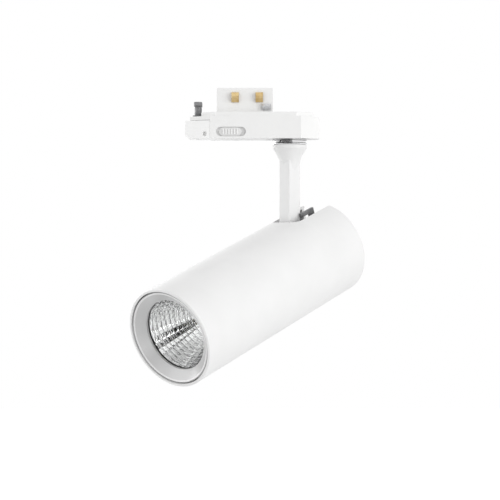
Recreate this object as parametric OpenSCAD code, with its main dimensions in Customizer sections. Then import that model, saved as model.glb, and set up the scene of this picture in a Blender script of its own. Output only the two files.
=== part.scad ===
// Track spotlight: an adapter with a lock lever and a circuit selector,
// a swivelling stem, and a tubular head that tilts in a slot behind the stem.
// Millimetres. The origin is on the swivel axis at the adapter's seat,
// X runs along the adapter and Z points up.

/* [Stored pose] */
// Turn of the stem about the swivel axis
pan_angle = -40.6; // [-90:0.1:90]
// How far the head looks below the horizon
tilt_angle = 19.8; // [0:0.1:60]

/* [Head tube] */
// Outside diameter of the head
head_d = 80; // [76:1:95]
// Length of the head from front rim to rear rim
head_len = 206; // [200:1:250]
// Wall of the tube
tube_wall = 2; // [1.6:0.1:2.6]
// Bevel on the outer edge of both rims
rim_bevel = 0.5; // [0.2:0.1:1]
// Width of the tilt slot
slot_w = 27.4; // [24:0.2:30]
// Reach of the tilt slot from the rear rim to its front end
slot_reach = 51; // [50.5:0.5:60]
// Corner radius of the tilt slot's front end
slot_corner_r = 13; // [4:0.5:13.5]
// Thickness of the ledge that the bezel seats on
ledge_t = 2; // [1:0.5:3]

/* [Front optics] */
// Setback of the bezel from the front rim
bezel_setback = 0.6; // [0.2:0.1:2]
// Shadow gap round the bezel
bezel_gap = 0.5; // [0.3:0.1:0.8]
// Flat rim of the bezel
bezel_rim = 0.6; // [0.5:0.1:1.5]
// Gap that shows round the bezel's lip, inside the tube's rim
bezel_reveal = 0.8; // [0.4:0.1:1.2]
// Depth of that gap behind the lip's face
reveal_depth = 1.9; // [1:0.1:3]
// Clear opening of the baffle cone
aperture_d = 57; // [50:0.5:60]
// Depth of the baffle cone
baffle_depth = 6.5; // [4:0.5:10]
// Straight lip behind the baffle cone
baffle_lip = 1.7; // [1:0.1:3]
// Diameter of the front glass
glass_d = 67; // [65:0.5:70]
// Thickness of the front glass
glass_t = 2; // [1.5:0.1:4]
// Radial width of the glass gasket
gasket_w = 5; // [1:0.1:6]
// Thickness of the glass gasket
gasket_t = 0.8; // [0.5:0.1:2]
// Mouth of the reflector
reflector_mouth_d = 61; // [58:0.5:62]
// Throat of the reflector
reflector_throat_d = 21; // [20:0.5:26]
// Depth of the reflector
reflector_len = 41; // [36:1:48]
// Shell of the reflector
reflector_wall = 1.2; // [0.8:0.1:1.6]
// Thickness of the reflector's mouth flange
reflector_flange_t = 1.2; // [0.8:0.1:2]
// Facets round the reflector
facets_round = 36; // [24:1:48]
// Facets from mouth to throat
facets_deep = 11; // [8:1:18]

/* [Light engine] */
// Diameter of the light engine's holder
holder_d = 46; // [45:0.5:52]
// Height of the holder
holder_h = 6; // [5:0.5:9]
// Opening of the holder over the emitter
holder_hole_d = 20; // [19:0.2:21]
// Edge of the square emitter board
board_w = 30; // [28:0.5:31]
// Thickness of the emitter board
board_t = 1.5; // [1:0.1:2]
// Diameter of the light-emitting disc
emitter_d = 17; // [12:0.5:18]
// Thickness of the light-emitting disc
emitter_t = 0.8; // [0.4:0.1:1.2]
// Circle that the holder's screws stand on
holder_screw_circle = 37; // [36.6:0.2:38]

/* [Heat sink] */
// Thickness of the heat sink's face plate
sink_base_t = 6; // [4:0.5:10]
// Length of the heat sink with its fins
sink_len = 54; // [40:1:68]
// Solid core of the finned part
sink_core_d = 30; // [24:1:40]
// Number of fins
fin_count = 24; // [12:1:28]
// Thickness of a fin
fin_t = 1.8; // [1.2:0.1:2.4]
// Depth of the tapped holes in the heat sink
sink_tap_depth = 5; // [4.5:0.5:5.5]

/* [Chassis and driver] */
// Width of the chassis plate
chassis_w = 48; // [44:1:52]
// Sheet thickness of the chassis
chassis_t = 1.5; // [1:0.1:2]
// Height of the chassis plate's top above the head's axis
chassis_level = 12.5; // [10:0.5:14.5]
// Height of the chassis end flanges
flange_drop = 30; // [26:1:32]
// Width of the driver case
driver_w = 46; // [40:1:48]
// Height of the driver case
driver_h = 28; // [20:1:30]
// Length of the driver case
driver_len = 52; // [40:1:64]
// Corner radius of the driver case
driver_round = 3; // [1:0.5:5]
// Thickness of the rear cap
cap_t = 2.8; // [2:0.1:4]
// Setback of the rear cap from the rear rim
cap_setback = 0.8; // [0.2:0.1:3]
// Width of a vent slot in the rear cap
vent_w = 2.6; // [2:0.1:3]
// Spacing of the vent slots
vent_pitch = 6; // [5:0.5:7]
// Solid margin round the vent slots
vent_margin = 6; // [5:0.5:8]

/* [Tilt hinge] */
// Tilt axis ahead of the rear rim
pivot_setback = 41.3; // [40:0.5:43]
// Tilt axis below the tube's top line
pivot_depth = 12; // [11:0.5:13]
// Diameter of the tilt pin
tilt_pin_d = 5; // [4:0.5:6]
// Sheet thickness of the hinge bracket
ear_t = 2; // [1.5:0.1:2.5]
// Radius of the bracket ears round the tilt pin
ear_nose_r = 7.5; // [6.6:0.1:8]
// Height of the low part of the ears over the tilt pin
ear_rise = 5.5; // [5:0.1:6.5]
// Reach of the bracket ears behind the tilt pin
ear_reach = 26.6; // [24:0.2:30]
// Start of the near ear's arm behind the tilt pin
ear_step = 9.2; // [8:0.2:10]
// Height of the arm's top over the tube's outline
arm_proud = 1.7; // [0.5:0.1:2.5]
// Height of the arm
arm_h = 3.4; // [2.5:0.1:4.5]
// Length of the arm's foot along the head
arm_foot = 6.2; // [4:0.2:8]
// Thickness of a friction washer
friction_washer_t = 0.7; // [0.5:0.1:1]
// Diameter of a friction washer
friction_washer_d = 13; // [10:0.5:14]
// Diameter of the pin's head
pin_head_d = 8.6; // [8:0.2:10]
// Thickness of the pin's head
pin_head_t = 2.2; // [1.5:0.1:2.8]
// Width across the flats of the pin's nut
pin_nut_af = 8; // [8:0.5:10]
// Thickness of the pin's nut
pin_nut_t = 3.2; // [2.5:0.1:4]
// Earth screw behind the tilt pin
earth_screw_back = 16.5; // [14:0.5:18]
// Earth screw over the level of the tilt pin
earth_screw_up = 1; // [-1:0.5:2]

/* [Stem] */
// Drop from the seat to the tilt axis
pivot_drop = 98.8; // [95:0.5:120]
// Width of the stem across the head
stem_w = 11; // [10:0.5:12]
// Depth of the stem along the head
stem_depth = 14.6; // [13:0.2:15.4]
// Rounding of the stem's long edges
stem_edge_r = 1; // [0.5:0.1:2]
// Diameter of the stem's round top
stem_top_d = 28; // [26:0.5:28]
// Height of the straight rim at the stem's top
stem_rim_h = 3; // [2:0.2:5]
// Height of the flare under the rim
flare_h = 18; // [14:0.5:20]
// Radius of the hollow curve of the flare
flare_arc_r = 53; // [40:1:80]
// Height of the rear rib under the rim
rib_h = 21; // [18:0.5:24]
// Wire passage through the stem
wire_bore_d = 6; // [4:0.5:6.4]

/* [Swivel] */
// Diameter of the chrome collar
collar_d = 28.6; // [28.2:0.2:30]
// Height of the chrome collar
collar_h = 4.5; // [4:0.1:6]
// Depth of the groove round the collar
collar_groove = 0.8; // [0.4:0.1:1.2]
// Height of the bands above and below that groove
collar_band = 1.2; // [0.8:0.1:1.5]
// Diameter of the stem's swivel spigot
spigot_d = 9; // [8.6:0.2:10]
// Outside diameter of the swivel bush
bush_d = 13; // [12.6:0.2:14]
// Diameter of the bush's flange
bush_flange_d = 18; // [17:0.5:20]
// Thickness of the bush's flange
bush_flange_t = 2; // [1.5:0.1:2.5]
// Reach of the bush above the tray's floor
bush_rise = 7.5; // [7:0.5:8]
// Width across the flats of the bush's nut
bush_nut_af = 17; // [16.5:0.5:18]
// Thickness of the bush's nut
bush_nut_t = 5; // [4:0.5:6]
// Thickness of the swivel's fibre washer
swivel_washer_t = 0.8; // [0.5:0.1:1.2]
// Thickness of the stop plate
stop_plate_t = 1; // [0.8:0.1:1.4]
// Diameter of the stop plate
stop_plate_d = 15; // [14:0.5:16]
// Reach of the stop plate's tab from the axis
stop_tab_reach = 12.8; // [12.6:0.1:13]
// Width of the stop plate's tab
stop_tab_w = 1.6; // [1.2:0.1:2]
// Diameter of the stop post
stop_post_d = 2.2; // [1.6:0.1:2.4]
// Distance of the stop post from the axis
stop_post_at = 12; // [12:0.1:12.4]
// Thickness of the retaining clip
clip_t = 0.9; // [0.7:0.1:1.2]
// Radial width of the retaining clip
clip_w = 1.6; // [1.2:0.1:2]

/* [Adapter] */
// Width of the adapter
adapter_w = 34; // [34:0.5:36]
// Height of the tray
tray_h = 18; // [18:0.5:22]
// Thickness of the seat flange with its pads
seat_t = 4; // [3.5:0.1:5]
// Height of the seat pads over the flange
pad_h = 0.5; // [0.3:0.1:1]
// Long side of the tray, left of the swivel axis
side_left = 65.4; // [65:0.2:68]
// Long side of the tray, right of the swivel axis
side_right = 8.8; // [8.4:0.2:10]
// Right end of the tray from the swivel axis
end_right = 24; // [23:0.5:27]
// Width of the tray's ends
end_w = 16; // [16:0.5:18]
// Wall of the tray's long sides
tray_wall = 2.5; // [2.2:0.1:2.6]
// Floor of the tray
tray_floor = 2.5; // [2:0.1:3]
// Setback of the seat flange from the tray's ends
seat_inset = 4.6; // [4:0.1:5]
// Setback of the seat flange from the tray's long sides
seat_side_inset = 0.8; // [0.5:0.1:1.2]
// Depth of the carrier's locating rim
locating_rim_h = 2.5; // [1.5:0.1:3]
// Width of the carrier's spine
spine_w = 13.6; // [12:0.2:14.4]
// Height of the carrier's spine over the seat
spine_h = 20; // [18:0.5:22]
// Left end of the spine from the swivel axis
spine_left = 60; // [58:0.5:60.5]
// Right end of the spine from the swivel axis
spine_right = 14; // [12:0.5:16]
// Diameter of the case screws
case_screw_d = 3; // [2.5:0.1:3]
// Distance of the case screws from the middle plane
case_screw_y = 10.4; // [10:0.1:10.8]
// Length of the terminal block
terminal_len = 26; // [20:1:28]
// Width of the terminal block
terminal_w = 13; // [10:0.5:14]
// Height of the terminal block
terminal_h = 10; // [8:0.5:11]
// Poles of the terminal block
terminal_poles = 4; // [3:1:5]

/* [Contacts] */
// Contact blades on each side of the spine
blade_pairs = 2; // [1:1:2]
// Spacing of the contact blades, which alternate between the sides
blade_pitch = 9.9; // [8.6:0.1:10.4]
// Length of a contact blade along the adapter
blade_len = 6; // [4:0.5:8]
// Thickness of a contact blade
blade_t = 0.8; // [0.5:0.1:1]
// Reach of a contact blade past the spine
blade_reach = 3.4; // [2.5:0.1:4]
// Height of a contact blade
blade_h = 8; // [6:0.5:9]
// Length of an earth spring along the adapter
earth_len = 7; // [5:0.5:8]

/* [Lock lever] */
// Lever axis left of the tray's long side
lever_axis = 10.1; // [9.8:0.1:11.6]
// Left end of the lever from the swivel axis
lever_end = 86; // [85:0.5:88]
// Running gap round the lever
lever_gap = 0.3; // [0.25:0.05:0.4]
// Thickness of the tray's roof over the lever
roof_t = 3.1; // [2.5:0.1:4]
// Diameter of the lock shaft
lock_shaft_d = 6; // [5:0.5:6.4]
// Diameter of the shaft's collar
lock_collar_d = 9; // [8:0.2:9.6]
// Thickness of the shaft's collar
lock_collar_t = 1.5; // [1:0.1:2]
// Tip-to-tip length of the locking cam
cam_len = 22; // [18:0.5:22]
// Width of the locking cam
cam_w = 6.6; // [6.6:0.2:8]
// Thickness of the locking cam
cam_t = 3; // [2:0.1:4]
// Underside of the locking cam over the seat
cam_level = 5; // [4:0.5:8]
// Diameter of the release hole in the lever's side
release_hole_d = 4; // [3:0.5:5]

/* [Circuit selector] */
// Middle of the selector recess from the left end of the tray's long side
recess_at = 17.1; // [16.8:0.1:17.4]
// Length of the selector recess
recess_len = 24.4; // [24.3:0.1:25.2]
// Height of the selector recess
recess_h = 7.6; // [7.4:0.1:8.2]
// Depth of the selector recess
recess_depth = 1.6; // [1.2:0.1:1.7]
// Middle of the selector recess over the tray's underside
recess_up = 5.3; // [5.2:0.1:6]
// Running gap round the slider
slider_gap = 0.35; // [0.3:0.05:0.4]
// Length of the slider's thumb pad
slider_len = 18.4; // [16:0.2:18.4]
// Middle of the slider left of the recess's middle
slider_at = 0.5; // [0.4:0.1:0.6]
// Ribs on the thumb pad
slider_ribs = 6; // [4:1:7]
// Width of a rib
rib_w = 1; // [0.8:0.1:1.2]
// Travel of the slider to the left
travel_left = 2.1; // [1.8:0.1:2.1]
// Travel of the slider to the right
travel_right = 3.1; // [2:0.1:3.1]

/* [Fits] */
// Radial running clearance of pins and shafts
run_gap = 0.05; // [0.02:0.01:0.1]
// Clearance between pieces that are fixed together
seat_gap = 0.1; // [0.05:0.01:0.2]
// Gap between flat faces that turn on each other
face_gap = 0.05; // [0.03:0.01:0.1]

/* [Hidden] */
$fn = 64;
// Margin by which a cutter passes the face it opens
over = 1;

// Screws: head width and socket width over the shank's diameter, head height and socket depth
screw_head_ratio = 1.9;
socket_ratio = 0.75;
screw_head_h = 2;
socket_depth = 1;
small_screw_d = 3;
fine_screw_d = 2;
// Free end of a screw before the bottom of its hole
screw_end_gap = 1;

// Head
head_r = head_d / 2;
bore_r = head_r - tube_wall;
pivot_h = head_r - pivot_depth;
pivot_at = head_len - pivot_setback;
slot_front = head_len - slot_reach;
bezel_r = bore_r - bezel_gap;
glass_r = glass_d / 2;
glass_z = bezel_setback + baffle_depth + baffle_lip;
gasket_z = glass_z + glass_t;
reflector_z = gasket_z + gasket_t;
bezel_back = reflector_z - seat_gap;
holder_z = reflector_z + reflector_len;
sink_z = holder_z + holder_h;
sink_end = sink_z + sink_len;
cap_z = head_len - cap_setback - cap_t;
mouth_r = reflector_mouth_d / 2;
throat_r = reflector_throat_d / 2;
flange_r = max(glass_r, mouth_r + reflector_wall);
ledge_r = flange_r + 2 * seat_gap;

// Tilt hinge
ear_in = stem_w / 2 + friction_washer_t + 2 * face_gap;
ear_out = ear_in + ear_t;
arm_top = sqrt(head_r * head_r - ear_out * ear_out) + arm_proud;
tilt_pin_r = tilt_pin_d / 2;
notch_floor = pivot_h - stem_depth / 2 - over;
ear_corner = 1;
bracket_screw_front = 8;
bracket_screw_rear = 22;
bracket_screws_at = [pivot_at + bracket_screw_front, pivot_at + bracket_screw_rear];

// Chassis, driver and rear cap
flange_screw_inset = 7;
chassis_screw_x = chassis_w / 2 - flange_screw_inset;
chassis_screw_y = chassis_level - flange_drop / 2;
cap_screw_y = chassis_level - flange_screw_inset;
vent_r = bore_r - vent_margin;
driver_top = chassis_level - chassis_t;
driver_z = sink_end + chassis_t + screw_head_h + 2 * seat_gap;
driver_poles = 4;
driver_pole_d = 2.4;
driver_terminal_w = 23;
driver_terminal_h = 9;
driver_terminal_len = 5;

// Stem and swivel
tray_top = -seat_t;
tray_bottom = tray_top - tray_h;
floor_top = tray_bottom + tray_floor;
collar_bottom = tray_bottom - collar_h;
stem_top = collar_bottom - 3 * seat_gap;
rim_bottom = stem_top - stem_rim_h;
flare_bottom = rim_bottom - flare_h;
stem_top_r = stem_top_d / 2;
spigot_r = spigot_d / 2;
bush_r = bush_d / 2;
bush_top = floor_top + bush_rise;
washer_z = bush_top + face_gap;
stop_plate_z = washer_z + swivel_washer_t + face_gap;
clip_z = stop_plate_z + stop_plate_t + face_gap;
spigot_top = clip_z + 2 * clip_t;
clip_groove_r = spigot_r - clip_w / 3;
rear_heading = pan_angle + 90;
edge_break = 0.4;
slot_end_r = min(slot_corner_r, slot_w / 2 - edge_break);
rib_inset = 1;
rib_start = stem_top_r - rib_inset;
rib_bottom = rim_bottom - rib_h;

// Adapter
half_w = adapter_w / 2;
cavity_half = half_w - tray_wall;
end_block = 7;
cavity_right = end_right - end_block;
cavity_inset = 1;
cavity_side = side_right - cavity_inset;
lever_mid = side_left + lever_axis;
pocket_r = sqrt(lever_axis * lever_axis + half_w * half_w);
lever_r = pocket_r - lever_gap;
cavity_left = lever_mid - pocket_r - tray_wall;
lever_top = tray_top - roof_t - lever_gap;
lever_bottom = tray_bottom + seat_gap;
roof_setback = 4;
roof_end = lever_end - roof_setback;
seat_half = half_w - seat_side_inset;
seat_top = -pad_h;
seat_end_inset = 1;
seat_end_half = end_w / 2 - seat_end_inset;
pad_half = seat_end_half - seat_end_inset;
pad_left = 9;
pad_setback = 3;
pad_right = end_right - seat_inset - pad_setback;
end_pad_len = 4;
spine_bevel = 2;
locating_rim_t = 1.4;
case_screw_left = 44.9;
case_screw_right = 18;
case_screws_x = [-case_screw_left, -case_screw_right];
case_boss_wall = 1.6;
case_boss_r = case_screw_d / 2 + case_boss_wall;
case_tap_cover = 1.2;
case_tap_depth = seat_t - case_tap_cover;
case_head_depth = 3;
lead_slot_len = 8;
lead_slot_w = 4;

// Terminals
terminal_end_gap = 3.7;
terminal_x = -cavity_left + terminal_end_gap + terminal_len / 2;
terminal_y = -1;
terminal_pitch = terminal_len / terminal_poles;
terminal_screw_d = 3;
terminal_screw_h = 4;
terminal_entry_d = 2.6;
terminal_entry_z = terminal_h / 3;
driver_slot = 0.6;

// Contacts
blade_level = 8;
blade_foot = 2.5;
blade_shift = 3;
blade_middle = -(spine_left + spine_right) / 2 - blade_shift;
blade_count = 2 * blade_pairs;
earth_level = 1.5;
earth_reach = 2.6;
earth_h = 5;
earth_inset = 2;
earth_x = -spine_right - earth_len / 2 - earth_inset;

// Lever
lever_foot_h = 6;
lever_foot = lever_bottom + lever_foot_h;
lever_screw_d = 3;
lever_screw_grip = 7;
release_hole_back = 4.6;
release_hole_up = 3.5;
grip_d = 8;

// Selector
neck_slot_h = 3;
neck_len = 8;
neck_h = neck_slot_h - 2 * slider_gap;
recess_x = recess_at - side_left;
recess_z = tray_bottom + recess_up;
slider_x = recess_x - slider_at;
rib_proud = 0.9;
rib_stand = 0.2;
pad_t = recess_depth - slider_gap + rib_stand;
pad_height = recess_h - 2 * slider_gap;
pad_y = -half_w + recess_depth - slider_gap;
slider_foot_t = 1.5;
slider_foot_y = -half_w + tray_wall + slider_gap;
slider_foot_margin = 0.6;
leaf_len = 8;
leaf_t = 0.6;
leaf_h = 2;
leaf_tip_len = 3;
leaf_tip_t = 1.8;

// Places

// The stem's frame: X across the head, Y towards the head's rear, Z up
module in_stem() {
    rotate([0, 0, pan_angle]) children();
}

// The tube's frame: Z from the front rim to the rear, Y to the top, origin at the front rim's centre
module in_head() {
    translate([0, 0, -pivot_drop])
        rotate([tilt_angle, 0, pan_angle])
            translate([0, -pivot_at, -pivot_h])
                rotate([90, 0, 180]) children();
}

// A shape drawn in the tube's length and height, as [along, up], given a width about x
module across_head(x, width) {
    translate([x - width / 2, 0, 0])
        rotate([0, -90, 0])
            mirror([0, 0, 1])
                linear_extrude(width) children();
}

// Shared shapes

module ring(r_in, r_out, h) {
    difference() {
        cylinder(r = r_out, h = h);
        translate([0, 0, -over]) cylinder(r = r_in, h = h + 2 * over);
    }
}

// A rectangle with round corners, centred
module round_rect(w, h, r) {
    square([w - 2 * r, h], center = true);
    square([w, h - 2 * r], center = true);
    for (x = [-1, 1], y = [-1, 1])
        translate([x * (w / 2 - r), y * (h / 2 - r)]) circle(r);
}

// A slot with full round ends, centred
module obround(length, h) {
    square([length - h, h], center = true);
    for (x = [-1, 1]) translate([x * (length - h) / 2, 0]) circle(d = h);
}

// A socket screw with its head's seat at z = 0 and its shank going to -z
module socket_screw(d, length) {
    difference() {
        union() {
            cylinder(d = d * screw_head_ratio, h = screw_head_h);
            translate([0, 0, -length]) cylinder(d = d, h = length + seat_gap);
        }
        translate([0, 0, screw_head_h - socket_depth])
            cylinder(d = d * socket_ratio, h = socket_depth + over, $fn = 6);
    }
}

// A through hole for a screw or pin of diameter d, centred on z = 0
module clear_hole(d, depth) {
    translate([0, 0, -depth]) cylinder(r = d / 2 + run_gap, h = 2 * depth);
}

// Adapter

// Plan of the tray with its bevelled ends, from the left side's end to the right end
module adapter_plan(left, left_end, right, right_end, half, end_half) {
    polygon([
        [-left_end, -end_half], [-left, -half], [right, -half], [right_end, -end_half],
        [right_end, end_half], [right, half], [-left, half], [-left_end, end_half]
    ]);
}

module cavity_plan(shrink) {
    polygon([
        [-side_left, -cavity_half + shrink], [cavity_side - shrink, -cavity_half + shrink],
        [cavity_right - shrink, -end_w / 2 + shrink], [cavity_right - shrink, end_w / 2 - shrink],
        [cavity_side - shrink, cavity_half - shrink], [-side_left, cavity_half - shrink]
    ]);
}

// The hollow of the tray: its plan, cut off by the wall round the lever's pocket
module tray_cavity(shrink) {
    difference() {
        cavity_plan(shrink);
        translate([-lever_mid, 0]) circle(r = pocket_r + tray_wall + shrink);
    }
}

module case_boss(x) {
    translate([x, case_screw_y, floor_top - over])
        cylinder(r = case_boss_r, h = tray_top - floor_top + over - locating_rim_h - seat_gap);
}

module adapter_tray() {
    color("whitesmoke") difference() {
        union() {
            difference() {
                translate([0, 0, tray_bottom]) linear_extrude(tray_h)
                    adapter_plan(side_left, roof_end, side_right, end_right, half_w, end_w / 2);
                translate([0, 0, floor_top]) linear_extrude(tray_h) tray_cavity(0);
            }
            for (x = case_screws_x) case_boss(x);
            rotate([0, 0, rear_heading + 180]) translate([stop_post_at, 0, floor_top - over])
                cylinder(d = stop_post_d, h = clip_z - floor_top + over);
        }
        // Pocket that the lever turns in, under the roof
        translate([-lever_mid, 0, tray_bottom - over])
            cylinder(r = pocket_r, h = tray_h - roof_t + over);
        translate([-lever_mid, 0, tray_top]) clear_hole(lock_shaft_d, tray_h);
        // Swivel bush
        translate([0, 0, floor_top]) clear_hole(bush_d, tray_floor + over);
        // Case screws with sunk heads
        for (x = case_screws_x) translate([x, case_screw_y, tray_bottom]) {
            clear_hole(case_screw_d, tray_h);
            translate([0, 0, -over])
                cylinder(d = case_screw_d * screw_head_ratio + 4 * seat_gap, h = case_head_depth + over);
        }
        // Selector recess and the slot for its neck
        translate([recess_x, -half_w + recess_depth, recess_z]) rotate([90, 0, 0])
            linear_extrude(recess_depth + over) obround(recess_len, recess_h);
        neck_left = slider_x - neck_len / 2 - travel_left - slider_gap;
        translate([neck_left, -half_w, recess_z - neck_slot_h / 2])
            cube([neck_len + travel_left + travel_right + 2 * slider_gap, tray_wall + over, neck_slot_h]);
    }
}

// Spine slots where the contact blades come out, on both sides
module blade_places() {
    for (i = [0 : blade_count - 1])
        translate([blade_middle + (i - (blade_count - 1) / 2) * blade_pitch, 0, 0])
            mirror([0, i % 2, 0]) children();
}

// Cross-section of a sprung blade: two feet in the spine and a bowed face outside it, as [out, up]
module bow_section(foot_depth, reach, h, t) {
    polygon([
        [-foot_depth, 0], [reach / 2, 0], [reach, h / 2 - t], [reach, h / 2 + t], [reach / 2, h],
        [-foot_depth, h], [-foot_depth, h - t], [reach / 2 - t / 2, h - t], [reach - t, h / 2 + t / 2],
        [reach - t, h / 2 - t / 2], [reach / 2 - t / 2, t], [-foot_depth, t]
    ]);
}

module bow_spring(length, level, reach, h) {
    translate([-length / 2, spine_w / 2, level]) rotate([90, 0, 90])
        linear_extrude(length) bow_section(blade_foot, reach, h, blade_t);
}

// The slot in the spine that a sprung blade's feet sit in
module spring_seat(length, level, h) {
    translate([-length / 2 - seat_gap, spine_w / 2 - blade_foot - seat_gap, level - seat_gap])
        cube([length + 2 * seat_gap, blade_foot + over, h + 2 * seat_gap]);
}

module contact_carrier() {
    color("white") difference() {
        union() {
            translate([0, 0, tray_top]) linear_extrude(seat_t - pad_h)
                adapter_plan(
                    side_left - seat_inset, roof_end - 2 * seat_inset,
                    side_right - seat_inset + seat_end_inset, end_right - seat_inset,
                    seat_half, seat_end_half);
            // Seat pads
            translate([-pad_left, -pad_half, seat_top - over])
                cube([pad_left + pad_right, 2 * pad_half, pad_h + over]);
            translate([-side_left, -pad_half, seat_top - over])
                cube([end_pad_len, 2 * pad_half, pad_h + over]);
            // Spine with bevelled top edges
            translate([-spine_left, 0, 0]) rotate([90, 0, 90])
                linear_extrude(spine_left - spine_right) polygon([
                    [-spine_w / 2, seat_top - over], [spine_w / 2, seat_top - over],
                    [spine_w / 2, spine_h - spine_bevel], [spine_w / 2 - spine_bevel, spine_h],
                    [spine_bevel - spine_w / 2, spine_h], [-spine_w / 2, spine_h - spine_bevel]
                ]);
            // Rim that locates the carrier in the tray
            translate([0, 0, tray_top - locating_rim_h]) linear_extrude(locating_rim_h + over / 2)
                difference() {
                    tray_cavity(2 * seat_gap);
                    tray_cavity(2 * seat_gap + locating_rim_t);
                }
        }
        // Room for the lock shaft's collar
        translate([-lever_mid, 0, tray_top - over])
            cylinder(d = lock_collar_d + 4 * lever_gap, h = seat_t + 2 * over);
        for (x = case_screws_x) translate([x, case_screw_y, tray_top]) {
            clear_hole(case_screw_d, case_tap_depth);
            // Clearance over the case boss
            translate([0, 0, -locating_rim_h - over])
                cylinder(r = case_boss_r + 2 * seat_gap, h = locating_rim_h + over);
        }
        // Seats of the blades and earth springs
        blade_places() spring_seat(blade_len, blade_level, blade_h);
        for (side = [0, 1]) mirror([0, side, 0])
            translate([earth_x, 0, 0]) spring_seat(earth_len, earth_level, earth_h);
        // Passage for the leads from the blades to the terminals
        translate([terminal_x - lead_slot_len / 2, -lead_slot_w / 2, tray_top - over])
            cube([lead_slot_len, lead_slot_w, spine_h]);
    }
}

module contact_blades() {
    color("goldenrod") blade_places() bow_spring(blade_len, blade_level, blade_reach, blade_h);
}

module earth_springs() {
    color("silver") for (side = [0, 1]) mirror([0, side, 0])
        translate([earth_x, 0, 0]) bow_spring(earth_len, earth_level, earth_reach, earth_h);
}

module at_terminals() {
    for (i = [0 : terminal_poles - 1])
        translate([terminal_x + (i - (terminal_poles - 1) / 2) * terminal_pitch, terminal_y, floor_top])
            children();
}

module terminal_block() {
    color("dimgray") difference() {
        translate([terminal_x - terminal_len / 2, terminal_y - terminal_w / 2, floor_top])
            cube([terminal_len, terminal_w, terminal_h]);
        // Lead entry and screw well of each pole
        at_terminals() translate([0, 0, terminal_entry_z]) {
            rotate([90, 0, 0]) cylinder(d = terminal_entry_d, h = terminal_w + 2 * over, center = true);
            cylinder(d = terminal_screw_d + 2 * seat_gap, h = terminal_h);
        }
    }
}

module terminal_screws() {
    color("darkgoldenrod") at_terminals()
        translate([0, 0, terminal_entry_z + terminal_entry_d / 2]) difference() {
            cylinder(d = terminal_screw_d, h = terminal_screw_h);
            translate([-terminal_screw_d, -driver_slot / 2, terminal_screw_h - driver_slot])
                cube([2 * terminal_screw_d, driver_slot, over]);
        }
}

module case_screws() {
    color("silver") for (x = case_screws_x)
        translate([x, case_screw_y, tray_bottom + case_head_depth]) rotate([180, 0, 0])
            socket_screw(case_screw_d, case_tap_depth + tray_h - case_head_depth - screw_end_gap);
}

// Swivel

module swivel_bush() {
    color("darkgoldenrod") difference() {
        union() {
            translate([0, 0, collar_bottom]) cylinder(d = bush_flange_d, h = bush_flange_t);
            translate([0, 0, collar_bottom]) cylinder(r = bush_r, h = bush_top - collar_bottom);
        }
        translate([0, 0, collar_bottom]) clear_hole(spigot_d, bush_top - collar_bottom + over);
    }
}

module bush_nut() {
    color("silver") translate([0, 0, floor_top]) difference() {
        cylinder(d = bush_nut_af / cos(30), h = bush_nut_t, $fn = 6);
        clear_hole(bush_d, bush_nut_t + over);
    }
}

// Turned ring with a shallow groove round its middle and a counterbore for the bush's flange
module collar_ring() {
    upper_band = collar_h - collar_band;
    seat_r = bush_flange_d / 2 + seat_gap;
    collar_r = collar_d / 2;
    groove_r = collar_r - collar_groove;
    color("gainsboro") translate([0, 0, collar_bottom]) rotate_extrude() polygon([
        [seat_r, 0], [collar_r - edge_break, 0], [collar_r, edge_break], [collar_r, collar_band],
        [groove_r, collar_band + edge_break], [groove_r, upper_band - edge_break], [collar_r, upper_band],
        [collar_r, collar_h - edge_break], [collar_r - edge_break, collar_h],
        [bush_r + seat_gap, collar_h], [bush_r + seat_gap, bush_flange_t], [seat_r, bush_flange_t]
    ]);
}

module swivel_washer() {
    color("firebrick") translate([0, 0, washer_z])
        ring(spigot_r + run_gap, bush_r - seat_gap, swivel_washer_t);
}

module stop_plate() {
    color("silver") in_stem() translate([0, 0, stop_plate_z]) difference() {
        union() {
            cylinder(d = stop_plate_d, h = stop_plate_t);
            translate([-stop_tab_w / 2, 0, 0]) cube([stop_tab_w, stop_tab_reach, stop_plate_t]);
        }
        clear_hole(spigot_d, stop_plate_t + over);
    }
}

// Open spring clip in the spigot's groove
module retaining_clip() {
    mouth_w = clip_groove_r * 1.2;
    color("dimgray") in_stem() translate([0, 0, clip_z]) difference() {
        ring(clip_groove_r + run_gap, clip_groove_r + clip_w, clip_t);
        translate([-mouth_w / 2, 0, -over]) cube([mouth_w, 2 * spigot_r, clip_t + 2 * over]);
    }
}

// Stem

// Centre of the arc that passes through the rim's edge and the foot of the flare
function arc_centre(a, b, r) =
    let (mid = (a + b) / 2, chord = b - a, half = norm(chord) / 2, rise = sqrt(r * r - half * half))
        mid + rise * [-chord[1], chord[0]] / norm(chord);

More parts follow.
